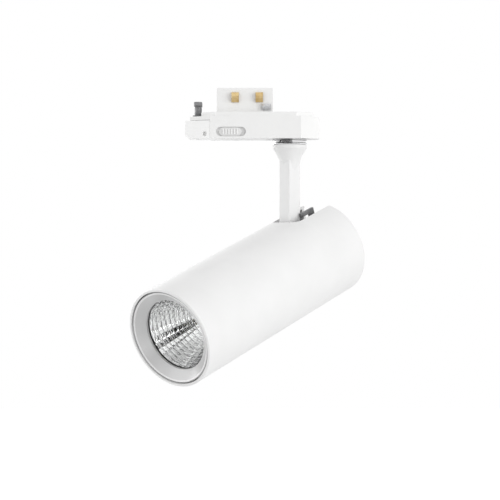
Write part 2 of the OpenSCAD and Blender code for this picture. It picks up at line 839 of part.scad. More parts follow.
module stem() {
    wire_exit = -pivot_drop + stem_depth / 2;
    flare_centre = arc_centre([stem_top_r, rim_bottom], [stem_w / 2, flare_bottom], flare_arc_r);
    rib_foot = [stem_depth / 2 - stem_edge_r, rib_bottom];
    rib_centre = arc_centre([rib_start, rim_bottom], rib_foot, flare_arc_r);
    color("whitesmoke") in_stem() difference() {
        union() {
            translate([0, 0, stem_top]) cylinder(r = spigot_r, h = spigot_top - stem_top);
            // Round top and its hollow flare
            rotate_extrude() difference() {
                translate([0, flare_bottom]) square([stem_top_r, stem_top - flare_bottom]);
                translate(flare_centre) circle(flare_arc_r, $fn = 128);
            }
            // Bar, running into a full round eye at the tilt axis
            translate([0, 0, -pivot_drop]) linear_extrude(pivot_drop + rim_bottom)
                round_rect(stem_w, stem_depth, stem_edge_r);
            translate([0, 0, -pivot_drop]) rotate([0, 90, 0])
                cylinder(d = stem_depth, h = stem_w, center = true);
            // Rib that carries the flare further down the rear side
            translate([-stem_w / 2 + stem_edge_r, 0, 0]) rotate([90, 0, 90])
                linear_extrude(stem_w - 2 * stem_edge_r) difference() {
                    translate([0, rib_bottom]) square([rib_start, rib_h]);
                    translate(rib_centre) circle(flare_arc_r, $fn = 128);
                }
        }
        translate([0, 0, clip_z - face_gap]) ring(clip_groove_r, spigot_r + over, clip_t + 2 * face_gap);
        // Tilt pin and wire passage
        translate([0, 0, -pivot_drop]) rotate([0, 90, 0]) clear_hole(tilt_pin_d, stem_w);
        translate([0, 0, wire_exit]) cylinder(d = wire_bore_d, h = pivot_drop);
        translate([0, 0, wire_exit + wire_bore_d / 2]) rotate([-90, 0, 0])
            cylinder(d = wire_bore_d, h = stem_depth);
    }
}

// Lock lever

// Plan of the lever: a bevelled end that matches the tray, inside the pocket's circle
module lever_plan() {
    intersection() {
        adapter_plan(side_left, lever_end, side_right, end_right, half_w - seat_gap, end_w / 2);
        translate([-lever_mid, 0]) circle(r = lever_r);
    }
}

module lock_lever() {
    bevel_run = lever_end - side_left;
    bevel_rise = half_w - seat_gap - end_w / 2;
    bevel_angle = atan2(bevel_rise, bevel_run);
    hole_x = -side_left - release_hole_back;
    hole_y = -half_w + release_hole_back * tan(bevel_angle);
    color("white") difference() {
        translate([0, 0, lever_bottom]) linear_extrude(lever_top - lever_bottom) lever_plan();
        // Socket of the shaft and the screw that holds it
        translate([-lever_mid, 0, lever_foot])
            cylinder(d = lock_shaft_d + 2 * run_gap, h = lever_top - lever_foot + over);
        translate([-lever_mid, 0, lever_bottom]) {
            clear_hole(lever_screw_d, lever_top - lever_bottom - over);
            translate([0, 0, -over])
                cylinder(d = lever_screw_d * screw_head_ratio + 4 * seat_gap, h = case_head_depth + over);
        }
        // Release hole in the front bevel
        translate([hole_x, hole_y, lever_bottom + release_hole_up])
            rotate([90, 0, -bevel_angle])
                cylinder(d = release_hole_d, h = 1.5 * release_hole_d, center = true);
        // Finger grip under the free end
        translate([-lever_end - over, 0, lever_bottom - over]) rotate([90, 0, 0])
            cylinder(d = grip_d, h = adapter_w, center = true);
    }
}

module lock_shaft() {
    color("dimgray") translate([-lever_mid, 0, 0]) difference() {
        union() {
            translate([0, 0, lever_foot]) cylinder(d = lock_shaft_d, h = cam_level - lever_foot + cam_t);
            translate([0, 0, tray_top + face_gap]) cylinder(d = lock_collar_d, h = lock_collar_t);
            translate([0, 0, cam_level]) linear_extrude(cam_t)
                rotate(90) obround(cam_len, cam_w);
        }
        translate([0, 0, lever_foot]) clear_hole(lever_screw_d, lever_screw_grip + screw_end_gap);
    }
}

module lever_screw() {
    color("silver") translate([-lever_mid, 0, lever_bottom + case_head_depth]) rotate([180, 0, 0])
        socket_screw(lever_screw_d, lever_foot - lever_bottom - case_head_depth + lever_screw_grip);
}

// Circuit selector

module selector_slider() {
    rib_span = slider_len - pad_height;
    rib_len = pad_height * 0.64;
    foot_len = neck_len + 2 * slider_foot_margin;
    foot_h = neck_slot_h + 2 * slider_foot_margin;
    color("white") translate([slider_x, 0, recess_z]) {
        translate([0, pad_y, 0]) rotate([90, 0, 0]) {
            linear_extrude(pad_t - rib_proud) obround(slider_len, pad_height);
            for (i = [0 : slider_ribs - 1])
                translate([(i / (slider_ribs - 1) - 0.5) * rib_span - rib_w / 2, -rib_len / 2, 0])
                    cube([rib_w, rib_len, pad_t]);
        }
        // Neck through the tray's wall and the foot behind it
        translate([-neck_len / 2, pad_y - seat_gap, -neck_h / 2])
            cube([neck_len, slider_foot_y - pad_y + 2 * seat_gap, neck_h]);
        translate([-foot_len / 2, slider_foot_y, -foot_h / 2])
            cube([foot_len, slider_foot_t, foot_h]);
    }
}

// Brass leaf on the slider's foot
module selector_contact() {
    color("goldenrod") translate([slider_x, slider_foot_y + slider_foot_t, recess_z]) {
        translate([-leaf_len / 2, 0, 0]) cube([leaf_len, leaf_t, leaf_h]);
        translate([-leaf_tip_len / 2, 0, 0]) cube([leaf_tip_len, leaf_tip_t, leaf_h]);
    }
}

// Head: tube and front optics

// Tilt slot, open at the rear, with two round corners at its front end
module slot_cut() {
    straight_w = slot_w - 2 * slot_end_r;
    translate([0, pivot_h - pivot_depth, slot_front + slot_end_r]) rotate([-90, 0, 0])
        linear_extrude(head_r) {
            for (side = [-1, 1]) translate([side * straight_w / 2, 0]) circle(slot_end_r);
            translate([-straight_w / 2, 0]) square([straight_w, slot_end_r]);
            translate([-slot_w / 2, -slot_reach]) square([slot_w, slot_reach]);
        }
}

module housing_tube() {
    color("whitesmoke") in_head() difference() {
        rotate_extrude($fn = 128) polygon([
            [bore_r, 0], [head_r - rim_bevel, 0], [head_r, rim_bevel],
            [head_r, head_len - rim_bevel], [head_r - rim_bevel, head_len], [bore_r, head_len],
            [bore_r, bezel_back + ledge_t], [ledge_r, bezel_back + ledge_t],
            [ledge_r, bezel_back], [bore_r, bezel_back]
        ]);
        slot_cut();
    }
}

// Baffle cone with a flat rim, a lip, and a counterbore that takes the glass from behind
module bezel() {
    lip_r = bezel_r - bezel_reveal;
    lip_back = bezel_setback + reveal_depth;
    aperture_r = aperture_d / 2;
    seat_r = glass_r + seat_gap;
    color("lightgray") in_head() rotate_extrude($fn = 128) polygon([
        [lip_r - bezel_rim, bezel_setback], [lip_r - edge_break, bezel_setback],
        [lip_r, bezel_setback + edge_break], [lip_r, lip_back], [bezel_r, lip_back], [bezel_r, bezel_back],
        [seat_r, bezel_back], [seat_r, glass_z], [aperture_r, glass_z],
        [aperture_r, bezel_setback + baffle_depth]
    ]);
}

module front_glass() {
    color("lightcyan", 0.35) in_head() translate([0, 0, glass_z])
        cylinder(r = glass_r, h = glass_t, $fn = 128);
}

module glass_gasket() {
    color("black") in_head() translate([0, 0, gasket_z]) ring(glass_r - gasket_w, glass_r, gasket_t);
}

// Parabolic reflector shell made of flat facets, with a round flange at the mouth
function reflector_r(share) =
    sqrt(throat_r * throat_r + (mouth_r * mouth_r - throat_r * throat_r) * (1 - share));

function reflector_ring(share, extra) = [
    for (j = [0 : facets_round - 1])
        let (a = 360 * j / facets_round, r = reflector_r(share) + extra)
            [r * cos(a), r * sin(a), reflector_z + reflector_len * share]
];

module reflector() {
    shares = [for (i = [0 : facets_deep]) i / facets_deep];
    rings = concat(
        [for (share = shares) reflector_ring(share, reflector_wall)],
        [for (i = [facets_deep : -1 : 0]) reflector_ring(shares[i], 0)]
    );
    count = len(rings);
    points = [for (one = rings) for (p = one) p];
    faces = [
        for (k = [0 : count - 1]) for (j = [0 : facets_round - 1])
            let (k2 = (k + 1) % count, j2 = (j + 1) % facets_round)
                [k * facets_round + j, k2 * facets_round + j, k2 * facets_round + j2, k * facets_round + j2]
    ];
    color("silver") in_head() {
        polyhedron(points, faces);
        translate([0, 0, reflector_z]) ring(mouth_r + reflector_wall / 2, flange_r, reflector_flange_t);
    }
}

// Light engine

module at_holder_screws() {
    for (x = [-1, 1]) translate([x * holder_screw_circle / 2, 0, 0]) children();
}

module emitter_holder() {
    color("white") in_head() difference() {
        translate([0, 0, holder_z]) cylinder(d = holder_d, h = holder_h);
        translate([0, 0, holder_z - over]) cylinder(d = holder_hole_d, h = holder_h + 2 * over);
        translate([0, 0, sink_z]) linear_extrude(2 * (board_t + seat_gap), center = true)
            square(board_w + 4 * seat_gap, center = true);
        at_holder_screws() translate([0, 0, holder_z]) clear_hole(fine_screw_d, holder_h + over);
    }
}

module holder_screws() {
    color("silver") in_head() at_holder_screws() translate([0, 0, holder_z]) rotate([180, 0, 0])
        socket_screw(fine_screw_d, holder_h + sink_tap_depth - screw_end_gap);
}

module emitter_board() {
    color("seashell") in_head() translate([0, 0, sink_z - board_t / 2])
        cube([board_w, board_w, board_t], center = true);
}

module emitter_disc() {
    color("gold") in_head() translate([0, 0, sink_z - board_t - emitter_t])
        cylinder(d = emitter_d, h = emitter_t);
}

// Extruded heat sink: a face plate, a core and straight radial fins
module heat_sink() {
    color("silver") in_head() difference() {
        union() {
            translate([0, 0, sink_z]) cylinder(r = bore_r - seat_gap, h = sink_base_t, $fn = 128);
            translate([0, 0, sink_z + sink_base_t - over / 2])
                linear_extrude(sink_len - sink_base_t + over / 2) intersection() {
                    circle(r = bore_r - seat_gap, $fn = 128);
                    union() {
                        circle(d = sink_core_d);
                        for (i = [0 : fin_count - 1]) rotate((i + 0.5) * 360 / fin_count)
                            translate([0, -fin_t / 2]) square([head_r, fin_t]);
                        // Bosses for the chassis screws
                        for (x = [-1, 1]) translate([x * chassis_screw_x, chassis_screw_y])
                            circle(d = 2 * small_screw_d);
                    }
                }
        }
        at_holder_screws() translate([0, 0, sink_z]) clear_hole(fine_screw_d, sink_tap_depth);
        at_chassis_screws() clear_hole(small_screw_d, sink_tap_depth);
    }
}

// Chassis and driver

module at_chassis_screws() {
    for (x = [-1, 1]) translate([x * chassis_screw_x, chassis_screw_y, sink_end]) children();
}

module at_cap_screws() {
    for (x = [-1, 1]) translate([x * chassis_screw_x, cap_screw_y, cap_z]) children();
}

// Folded sheet: a plate over the driver, a flange on the heat sink and a flange on the rear cap
module chassis() {
    rear_drop = flange_drop / 2;
    color("gainsboro") in_head() difference() {
        union() {
            translate([-chassis_w / 2, chassis_level - chassis_t, sink_end])
                cube([chassis_w, chassis_t, cap_z - sink_end]);
            translate([-chassis_w / 2, chassis_level - flange_drop, sink_end])
                cube([chassis_w, flange_drop, chassis_t]);
            translate([-chassis_w / 2, chassis_level - rear_drop, cap_z - chassis_t])
                cube([chassis_w, rear_drop, chassis_t]);
        }
        at_chassis_screws() clear_hole(small_screw_d, 2 * chassis_t);
        at_cap_screws() clear_hole(small_screw_d, 2 * chassis_t);
        for (z = bracket_screws_at) translate([0, chassis_level, z]) rotate([90, 0, 0])
            clear_hole(small_screw_d, 2 * chassis_t);
    }
}

module chassis_screws() {
    color("dimgray") in_head() at_chassis_screws() translate([0, 0, chassis_t])
        socket_screw(small_screw_d, chassis_t + sink_tap_depth - screw_end_gap);
}

module driver_case() {
    color("ghostwhite") in_head() difference() {
        translate([0, driver_top - driver_h / 2, driver_z]) linear_extrude(driver_len)
            round_rect(driver_w, driver_h, driver_round);
        for (z = bracket_screws_at) translate([0, driver_top, z]) rotate([90, 0, 0])
            clear_hole(small_screw_d + 2 * screw_end_gap, small_screw_d);
    }
}

module driver_terminals() {
    color("seagreen") in_head() translate([0, driver_top - driver_h / 2, driver_z + driver_len])
        difference() {
            translate([-driver_terminal_w / 2, -driver_terminal_h / 2, 0])
                cube([driver_terminal_w, driver_terminal_h, driver_terminal_len]);
            for (i = [0 : driver_poles - 1])
                translate([((i + 0.5) / driver_poles - 0.5) * driver_terminal_w, 0, over])
                    cylinder(d = driver_pole_d, h = driver_terminal_len);
        }
}

// Tilt hinge

// Side view of a bracket ear: a nose round the tilt pin and a low rear part
module ear_outline() {
    low_top = pivot_h + ear_rise;
    translate([pivot_at, pivot_h]) circle(ear_nose_r);
    polygon([
        [pivot_at - ear_nose_r, chassis_level], [pivot_at - ear_nose_r, pivot_h], [pivot_at, low_top],
        [pivot_at + ear_reach - ear_corner, low_top], [pivot_at + ear_reach, low_top - ear_corner],
        [pivot_at + ear_reach, chassis_level]
    ]);
}

// Side view of the near ear's arm, which stands on the ear's rear end and reaches forward over it
module arm_outline() {
    foot_start = pivot_at + ear_reach - arm_foot;
    polygon([
        [foot_start, pivot_h], [foot_start, arm_top - arm_h - ear_corner],
        [foot_start - ear_corner, arm_top - arm_h], [pivot_at + ear_step, arm_top - arm_h],
        [pivot_at + ear_step, arm_top], [pivot_at + ear_reach, arm_top], [pivot_at + ear_reach, pivot_h]
    ]);
}

// Folded steel channel: a floor on the chassis and two ears beside the stem's eye
module tilt_bracket() {
    color("dimgray") in_head() difference() {
        union() {
            for (side = [-1, 1]) across_head(side * (ear_in + ear_out) / 2, ear_t) ear_outline();
            across_head(-(ear_in + ear_out) / 2, ear_t) arm_outline();
            translate([-ear_out, chassis_level, pivot_at - ear_nose_r])
                cube([2 * ear_out, ear_t, ear_nose_r + ear_reach]);
        }
        translate([0, pivot_h, pivot_at]) rotate([0, 90, 0]) clear_hole(tilt_pin_d, ear_out + over);
        translate([ear_out, pivot_h + earth_screw_up, pivot_at + earth_screw_back]) rotate([0, 90, 0])
            clear_hole(small_screw_d, ear_t + over);
        for (z = bracket_screws_at) translate([0, chassis_level, z]) rotate([90, 0, 0])
            clear_hole(small_screw_d, 2 * ear_t);
    }
}

module bracket_screws() {
    color("silver") in_head() for (z = bracket_screws_at)
        translate([0, chassis_level + ear_t, z]) rotate([-90, 0, 0])
            socket_screw(small_screw_d, ear_t + chassis_t + over);
}

module tilt_pin() {
    color("silver") in_head() translate([0, pivot_h, pivot_at]) rotate([0, 90, 0]) {
        translate([0, 0, -ear_out]) cylinder(r = tilt_pin_r, h = 2 * ear_out + pin_nut_t + over / 2);
        translate([0, 0, -ear_out - pin_head_t]) difference() {
            cylinder(d = pin_head_d, h = pin_head_t);
            translate([0, 0, -over])
                cylinder(d = tilt_pin_d * socket_ratio, h = over + socket_depth, $fn = 6);
        }
    }
}

module pin_nut() {
    color("silver") in_head() translate([ear_out, pivot_h, pivot_at]) rotate([0, 90, 0]) difference() {
        cylinder(d = pin_nut_af / cos(30), h = pin_nut_t, $fn = 6);
        clear_hole(tilt_pin_d, pin_nut_t + over);
    }
}

module friction_washers() {
    color("firebrick") in_head() for (side = [-1, 1])
        translate([side * (stem_w / 2 + face_gap), pivot_h, pivot_at]) rotate([0, side * 90, 0])
            ring(tilt_pin_r + run_gap, friction_washer_d / 2, friction_washer_t);
}

module earth_screw() {
    color("silver") in_head() translate([ear_out, pivot_h + earth_screw_up, pivot_at + earth_screw_back])
        rotate([0, 90, 0]) socket_screw(small_screw_d, ear_t - seat_gap);
}

// Rear cap: a disc with a notch for the stem and a stack of vent slots
module rear_cap() {
    color("whitesmoke") in_head() difference() {
        translate([0, 0, cap_z]) cylinder(r = bore_r - seat_gap, h = cap_t, $fn = 128);
        translate([-slot_w / 2, notch_floor, cap_z - over]) cube([slot_w, head_r, cap_t + 2 * over]);
        for (drop = [vent_pitch : vent_pitch : vent_r - vent_margin]) translate([0, -drop, cap_z - over])
            linear_extrude(cap_t + 2 * over) obround(2 * sqrt(vent_r * vent_r - drop * drop), vent_w);
        at_cap_screws() clear_hole(small_screw_d, cap_t + over);
    }
}

module cap_screws() {
    color("silver") in_head() at_cap_screws() translate([0, 0, cap_t])
        socket_screw(small_screw_d, cap_t + chassis_t + over);
}

adapter_tray();
contact_carrier();
contact_blades();
earth_springs();
terminal_block();
terminal_screws();
case_screws();
swivel_bush();
bush_nut();
collar_ring();
lock_lever();
lock_shaft();
lever_screw();
selector_slider();
selector_contact();
stem();
swivel_washer();
stop_plate();
retaining_clip();
housing_tube();
bezel();
front_glass();
glass_gasket();
reflector();
emitter_holder();
holder_screws();
emitter_board();
emitter_disc();
heat_sink();
chassis();
chassis_screws();
driver_case();
driver_terminals();
tilt_bracket();
bracket_screws();
tilt_pin();
pin_nut();
friction_washers();
earth_screw();
rear_cap();
cap_screws();
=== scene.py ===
import math

import bpy
from mathutils import Matrix, Vector


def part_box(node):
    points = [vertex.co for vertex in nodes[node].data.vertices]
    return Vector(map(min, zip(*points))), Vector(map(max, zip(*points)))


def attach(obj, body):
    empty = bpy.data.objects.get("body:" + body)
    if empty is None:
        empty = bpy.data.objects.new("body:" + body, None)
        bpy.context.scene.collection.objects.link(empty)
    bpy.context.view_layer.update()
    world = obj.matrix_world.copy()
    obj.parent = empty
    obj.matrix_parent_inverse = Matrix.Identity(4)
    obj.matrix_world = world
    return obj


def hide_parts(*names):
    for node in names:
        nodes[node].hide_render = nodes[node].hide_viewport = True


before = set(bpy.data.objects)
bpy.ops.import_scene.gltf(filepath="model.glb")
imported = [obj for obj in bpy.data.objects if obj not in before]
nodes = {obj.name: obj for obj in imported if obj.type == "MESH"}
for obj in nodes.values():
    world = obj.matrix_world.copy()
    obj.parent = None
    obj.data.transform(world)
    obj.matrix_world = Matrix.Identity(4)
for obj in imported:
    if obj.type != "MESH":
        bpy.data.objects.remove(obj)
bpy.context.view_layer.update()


# Adapter tray, contact carrier and driver case
# Mouldings of white glass-filled plastic, screwed together. The eroded mould leaves an even satin
# grain, the flow of the melt clouds the colour, and painted shade greys the recess in the tray's
# front.

class Wire:
    """A shader socket that can be used in sums; every sum adds its Math node."""

    def __init__(self, tree, socket=None):
        self.tree = tree
        self.socket = socket

    def node(self, kind, settings=None, links=None, out=0):
        """A new node of a type, with its settings and its sockets' values or links."""
        made = self.tree.nodes.new(kind)
        for name, value in (settings or {}).items():
            setattr(made, name, value)
        for name, value in (links or {}).items():
            if isinstance(value, Wire):
                self.tree.links.new(value.socket, made.inputs[name])
            else:
                made.inputs[name].default_value = value
        return Wire(self.tree, made.outputs[out])

    def sum(self, operation, first, second):
        return self.node("ShaderNodeMath", {"operation": operation}, {0: first, 1: second})

    def __add__(self, other):
        return self.sum("ADD", self, other)

    def __radd__(self, other):
        return self.sum("ADD", other, self)

    def __sub__(self, other):
        return self.sum("SUBTRACT", self, other)

    def __rsub__(self, other):
        return self.sum("SUBTRACT", other, self)

    def __mul__(self, other):
        return self.sum("MULTIPLY", self, other)

    def __rmul__(self, other):
        return self.sum("MULTIPLY", other, self)


def finish(name, **settings):
    """A new material with its plain socket values, as (material, wire, shader node)."""
    material = bpy.data.materials.new(name)
    material.use_nodes = True
    shader = material.node_tree.nodes["Principled BSDF"]
    for socket, value in settings.items():
        shader.inputs[socket.replace("_", " ")].default_value = value
    return material, Wire(material.node_tree), shader


def join(wire, shader, sockets):
    for socket, value in sockets.items():
        wire.tree.links.new(value.socket, shader.inputs[socket])


def place(wire):
    return wire.node("ShaderNodeTexCoord", out="Object")


def noise(wire, scale, detail=2.0):
    """A noise of so many waves to the metre."""
    return wire.node(
        "ShaderNodeTexNoise", {}, {"Vector": place(wire), "Scale": scale, "Detail": detail}
    )


def spread(wire, mask, low, high):
    """The mask stretched so that low becomes 0 and high becomes 1."""
    return wire.node("ShaderNodeMapRange", {}, {"Value": mask, "From Min": low, "From Max": high})


def between(wire, mask, low, high):
    """A colour that goes from low to high with the mask."""
    ends = (end if isinstance(end, Wire) else (*end, 1) for end in (low, high))
    return wire.node(
        "ShaderNodeMix", {"data_type": "RGBA"}, {"Factor": mask, **dict(zip((6, 7), ends))}, out=2
    )


def inside(wire, box):
    """1 where a point lies in a box of (low, high) for x, y and z, in metres."""
    mask = 1
    for axis, (low, high) in zip("XYZ", box):
        at = wire.node("ShaderNodeSeparateXYZ", {}, {"Vector": place(wire)}, out=axis)
        mask = mask * (wire.sum("GREATER_THAN", at, low) * wire.sum("LESS_THAN", at, high))
    return mask


def bump(wire, height, distance, strength):
    """The normal of a relief that is at most so many metres high."""
    return wire.node(
        "ShaderNodeBump", {}, {"Height": height, "Distance": distance, "Strength": strength}
    )


def dress(material, *names):
    for name in names:
        piece = nodes[name]
        if piece.material_slots:
            for slot in piece.material_slots:
                slot.material = material
        else:
            piece.data.materials.append(material)


# The share of the colour left where recesses and gaps get painted shade.
RECESS_SHADE = 0.84


def moulding(name, low, high, rough, grain=0.3, shaded_box=None):
    """A moulded plastic: flow clouds in the colour, an eroded grain and painted shade in a shaded
    box.
    """
    material, wire, shader = finish(name, IOR=1.47)
    cloud = spread(wire, noise(wire, 55, 4), 0.3, 0.7)
    skin = noise(wire, 2600, 3)
    colour = between(wire, cloud, low, high)
    if shaded_box:
        # Inside the box the colour is darkened as painted shade.
        colour = between(wire, inside(wire, shaded_box), colour, tuple(RECESS_SHADE * level for level in low))
    join(wire, shader, {
        "Base Color": colour,
        "Roughness": rough + 0.14 * skin,
        "Normal": bump(wire, skin, 0.00004, grain),
    })
    return material


PALE, WHITE = (0.855, 0.855, 0.85), (0.885, 0.885, 0.88)
RECESS = (-0.0607, -0.0359), (-0.0167, -0.0150), (-0.0207, -0.0127)
dress(moulding("white_plastic", PALE, WHITE, 0.36), "contact_carrier", "driver_case")
# The tray's recess gets painted shade.
dress(moulding("tray_plastic", PALE, WHITE, 0.36, shaded_box=RECESS), "adapter_tray")


# Contacts and terminals
# Bowed blades, leaves and terminal screws stamped and turned from brass strip and bar, dulled in
# patches where the metal has tarnished. They sit in plastic blocks pressed into the mouldings.

TARNISHED, FRESH = (0.62, 0.43, 0.19), (0.78, 0.60, 0.31)
brass, wire, shader = finish("bare_brass", Metallic=1.0)
bright = spread(wire, noise(wire, 260, 5), 0.32, 0.68)
marks = noise(wire, 1900, 4)
join(wire, shader, {
    "Base Color": between(wire, bright, TARNISHED, FRESH),
    "Roughness": 0.22 + 0.24 * (0.6 * (1 - bright) + 0.4 * marks),
    "Normal": bump(wire, marks, 0.00003, 0.25),
})
dress(brass, "contact_blades", "selector_contact", "terminal_screws", "swivel_bush")
dress(moulding("dark_plastic", (0.10, 0.10, 0.11), (0.14, 0.14, 0.15), 0.42), "terminal_block")
dress(moulding("green_plastic", (0.08, 0.34, 0.19), (0.12, 0.42, 0.25), 0.40), "driver_terminals")


# Screws, nuts, springs, plates and the head's chassis
# Steel pieces with a bright zinc plate. The plate shows its crystals as faint patches of a
# slightly different grey and gloss.

zinc, wire, shader = finish("zinc_plate", Metallic=1.0)
crystals = wire.node(
    "ShaderNodeTexVoronoi", {"feature": "F1"}, {"Vector": place(wire), "Scale": 900.0}, out="Color"
)
grey = wire.node("ShaderNodeSeparateColor", {}, {"Color": crystals})
marks = noise(wire, 2400, 4)
join(wire, shader, {
    "Base Color": between(wire, grey, (0.56, 0.57, 0.59), (0.70, 0.70, 0.71)),
    "Roughness": 0.24 + 0.14 * grey + 0.10 * marks,
    "Normal": bump(wire, marks, 0.00002, 0.2),
})
dress(
    zinc, "case_screws", "bush_nut", "earth_springs", "stop_plate", "lever_screw", "holder_screws",
    "bracket_screws", "tilt_pin", "pin_nut", "earth_screw", "cap_screws", "chassis",
)


# Lock lever and circuit selector
# The swinging end of the adapter and the ribbed thumb slider, moulded in a whiter plastic than the
# tray's and polished where fingers touch them. Painted shade greys the gaps between the slider's
# ribs.

THUMB_LOW, THUMB_HIGH = (0.935, 0.935, 0.93), (0.96, 0.96, 0.955)
GAPS = (-0.0585, -0.0390), (-0.0165, -0.0140), (-0.0205, -0.0125)
dress(moulding("thumb_plastic", THUMB_LOW, THUMB_HIGH, 0.27, 0.18), "lock_lever")
# The slider's rib gaps get painted shade.
dress(moulding("slider_plastic", THUMB_LOW, THUMB_HIGH, 0.27, 0.18, shaded_box=GAPS), "selector_slider")


# Collar ring
# A turned brass ring with a groove round it, polished and chromed. Wiping leaves faint smears that
# only show in its gloss, and a painted dark reflection runs as a line in both corners of the
# groove.

BAND, PAINTED_LINE, ANYWHERE = 0.0012, 0.0004, (-1, 1)
ring_low, ring_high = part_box("collar_ring")
chrome, wire, shader = finish("chrome_plate", Metallic=1.0)
smears = spread(wire, noise(wire, 140, 4), 0.35, 0.75)
lower_painted_line, upper_painted_line = (
    inside(wire, (ANYWHERE, ANYWHERE, (height - PAINTED_LINE, height + PAINTED_LINE)))
    for height in (ring_low.z + BAND, ring_high.z - BAND)
)
plate = between(wire, smears, (0.80, 0.80, 0.81), (0.86, 0.86, 0.87))
join(wire, shader, {
    # The two dark lines in the groove's corners are painted dark reflection.
    "Base Color": between(wire, lower_painted_line + upper_painted_line, plate, (0.35, 0.35, 0.35)),
    "Roughness": 0.05 + 0.07 * smears,
    "Normal": bump(wire, smears, 0.00002, 0.1),
})
dress(chrome, "collar_ring")


# Stem, head tube and rear cap
# A cast stem, an aluminium tube with an open slot at its rear and a vented cap, all under one
# white powder coat: a satin skin with a fine orange peel and barely visible mottling.

coat, wire, shader = finish("white_powder_coat", IOR=1.45)
peel = noise(wire, 1300, 3)
mottle = spread(wire, noise(wire, 35, 4), 0.3, 0.7)
join(wire, shader, {
    "Base Color": between(wire, mottle, (0.80, 0.80, 0.798), (0.83, 0.83, 0.828)),
    "Roughness": 0.44 + 0.14 * peel,
    "Normal": bump(wire, peel, 0.00006, 0.3),
})
dress(coat, "stem", "housing_tube", "rear_cap")


# Fibre washers
# Punched from red vulcanised fibre board, under the swivel's plate and beside the tilt eye. The
# board shows its pressed fibres as short streaks.

fibre, wire, shader = finish("red_fibre", Roughness=0.8)
streaks = noise(wire, 1500, 6)
join(wire, shader, {
    "Base Color": between(wire, streaks, (0.30, 0.07, 0.05), (0.52, 0.17, 0.12)),
    "Normal": bump(wire, streaks, 0.00005, 0.5),
})
dress(fibre, "swivel_washer", "friction_washers")


# Tilt bracket, lock shaft and clip
# Folded and turned steel with a dark phosphate finish, a matt crystalline grey that is worn a
# little brighter in patches.

phosphate, wire, shader = finish("phosphated_steel", Metallic=0.7)
grains = noise(wire, 1800, 6)
worn = spread(wire, noise(wire, 120, 5), 0.45, 0.75)
join(wire, shader, {
    "Base Color": between(wire, worn, (0.2, 0.2, 0.205), (0.34, 0.34, 0.345)),
    "Roughness": 0.56 - 0.16 * worn + 0.1 * grains,
    "Normal": bump(wire, grains, 0.00004, 0.35),
})
dress(phosphate, "tilt_bracket", "lock_shaft", "retaining_clip", "chassis_screws")


# Bezel
# A turned aluminium ring with a conical baffle, anodised in satin silver; its thin rim is coloured
# white and not metallic. Very fine turning lines run round the head's axis, so its sheen stretches
# across them.

HEAD_AXIS = (0.6123, 0.7144, 0.3387)
RIM_END = -0.19686


def along_head(wire):
    """How far a point lies along the head's axis, in metres towards the rear."""
    return wire.node(
        "ShaderNodeVectorMath", {"operation": "DOT_PRODUCT"}, {0: place(wire), 1: HEAD_AXIS},
        out="Value",
    )


satin, wire, shader = finish("satin_anodised")
turned = wire.node(
    "ShaderNodeTexNoise", {"noise_dimensions": "1D"}, {"W": along_head(wire), "Scale": 9000.0}
)
rim = wire.sum("LESS_THAN", along_head(wire), RIM_END)
silver = between(wire, turned, (0.59, 0.59, 0.59), (0.65, 0.65, 0.65))
join(wire, shader, {
    "Base Color": between(wire, rim, silver, (0.86, 0.86, 0.86)),
    "Metallic": 0.4 * (1 - rim),
    "Roughness": 0.28 + 0.1 * turned,
    "Normal": bump(wire, turned, 0.00002, 0.15),
})
dress(satin, "bezel")


# Front glass and gasket
# A flat disc of clear glass with faint wipe marks, held against the bezel by a ring of black
# silicone rubber with a dusty matt skin.

glass, wire, shader = finish(
    "clear_glass", IOR=1.5, Transmission_Weight=1.0, Base_Color=(0.99, 0.995, 0.992, 1)
)
join(wire, shader, {"Roughness": 0.012 * spread(wire, noise(wire, 60, 3), 0.5, 0.8)})
shadow = wire.node("ShaderNodeLightPath", out="Is Shadow Ray")
clear = wire.node("ShaderNodeBsdfTransparent")
pane = wire.node(
    "ShaderNodeMixShader", {}, {0: shadow, 1: Wire(wire.tree, shader.outputs[0]), 2: clear}
)
join(wire, wire.tree.nodes["Material Output"], {"Surface": pane})
dress(glass, "front_glass")

rubber, wire, shader = finish("black_silicone", IOR=1.4)
dust = noise(wire, 700, 4)
join(wire, shader, {
    "Base Color": between(wire, dust, (0.018, 0.018, 0.018), (0.05, 0.05, 0.05)),
    "Roughness": 0.6 + 0.25 * dust,
    "Normal": bump(wire, dust, 0.00004, 0.4),
})
dress(rubber, "glass_gasket")


# Reflector
# A parabolic shell spun from sheet aluminium and pressed into 36 strips of small pillows, then
# polished and anodised to a mirror. Its mouth flange is clamped behind the glass.

STRIPS, RINGS, CELLS = 36, 11, 6
MOUTH, THROAT, FLANGE = 0.0305, 0.0105, 0.0335
FRONT_Z, DEPTH, SHELL, FLANGE_T = 0.0116, 0.041, 0.0012, 0.0012
FLANGE_EDGES = 3
BULGE, FLATNESS = 0.00014, 6
TILT_HEIGHT, PAN, TILT = -0.0988, math.radians(-40.6), math.radians(19.8)
HEAD_FRONT = (0, -0.1647, -0.028)
HEAD = (
    Matrix.Translation((0, 0, TILT_HEIGHT))
    @ Matrix.Rotation(PAN, 4, "Z") @ Matrix.Rotation(TILT, 4, "X")
    @ Matrix.Translation(HEAD_FRONT)
    @ Matrix.Rotation(math.pi, 4, "Z") @ Matrix.Rotation(math.pi / 2, 4, "X")
)


def paraboloid(share):
    """The mirror's radius at a share of its depth, from the mouth."""
    return math.sqrt(THROAT**2 + (MOUTH**2 - THROAT**2) * (1 - share))


def corner(ring, strip):
    turn, share = 2 * math.pi * strip / STRIPS, ring / RINGS
    radius, z = paraboloid(share), FRONT_Z + DEPTH * share
    return Vector((radius * math.cos(turn), radius * math.sin(turn), z))


